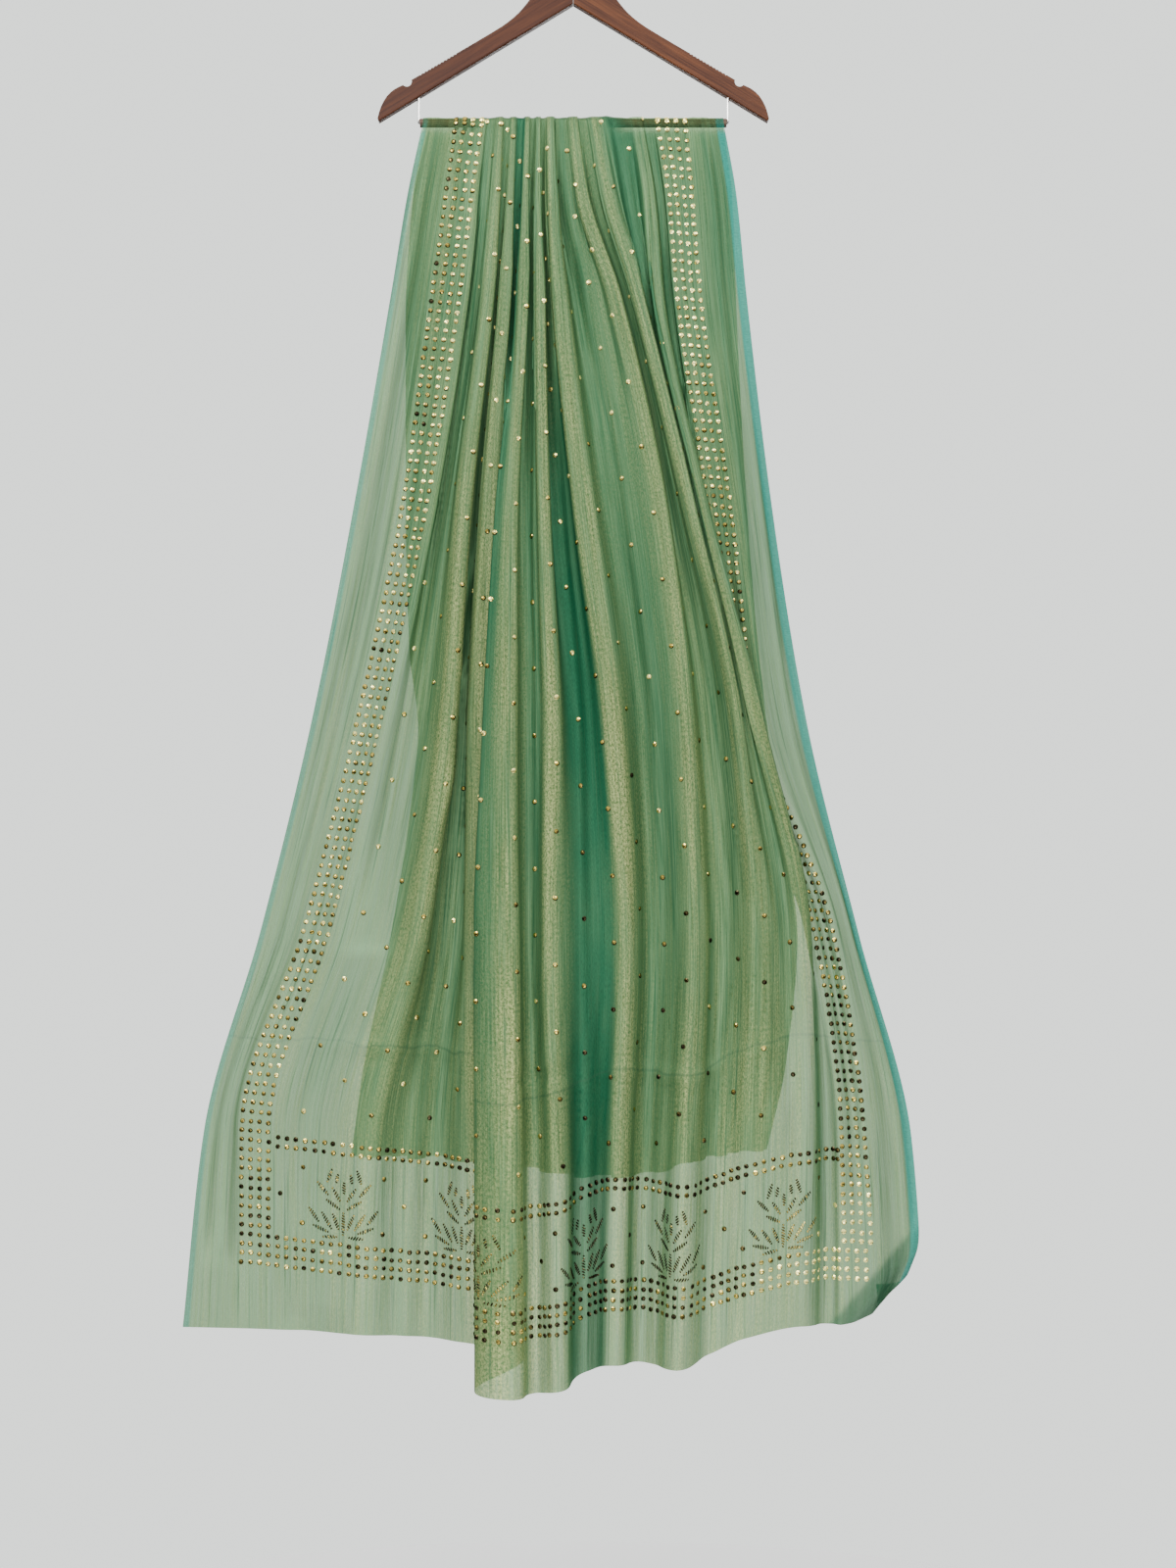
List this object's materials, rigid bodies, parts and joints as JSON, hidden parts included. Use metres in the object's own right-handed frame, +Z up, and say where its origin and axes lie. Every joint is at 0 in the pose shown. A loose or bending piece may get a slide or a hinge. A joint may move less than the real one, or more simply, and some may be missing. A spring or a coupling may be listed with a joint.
{
  "type": "dupatta stole draped on a wooden clothes hanger",
  "caption": "Sheer bordered dupatta gathered over the bar of a wooden hanger, long pleated fall in front and short one behind; hangs by its hook.",
  "frame": {"origin": "seat of the hook, the inside top of its curve, where a rail carries the hanger", "axes": "+Z up, +X to the right of someone facing the long front fall, -Y out of the front towards that person"},
  "size_m": [0.8347, 0.1214, 1.701],
  "materials": {
    "tissue_cloth": "sheer gold and green tissue with fine slubs and a low metallic sheen",
    "foil_dots": "small pale gold foil dots, bright or dark as they catch the light",
    "stained_wood": "reddish brown stain under satin lacquer",
    "bright_wire": "bright plated wire",
    "brown_bar": "dark brown, satin"
  },
  "bodies": {
    "root": {"front_fall": "tissue_cloth", "bar_turn": "tissue_cloth", "back_fall": "tissue_cloth", "hanger_arm_left": "stained_wood", "hanger_arm_right": "stained_wood", "hook": "bright_wire", "bar_wire_left": "bright_wire", "bar_wire_right": "bright_wire", "bar_tube": "brown_bar"}
  },
  "joints": []
}
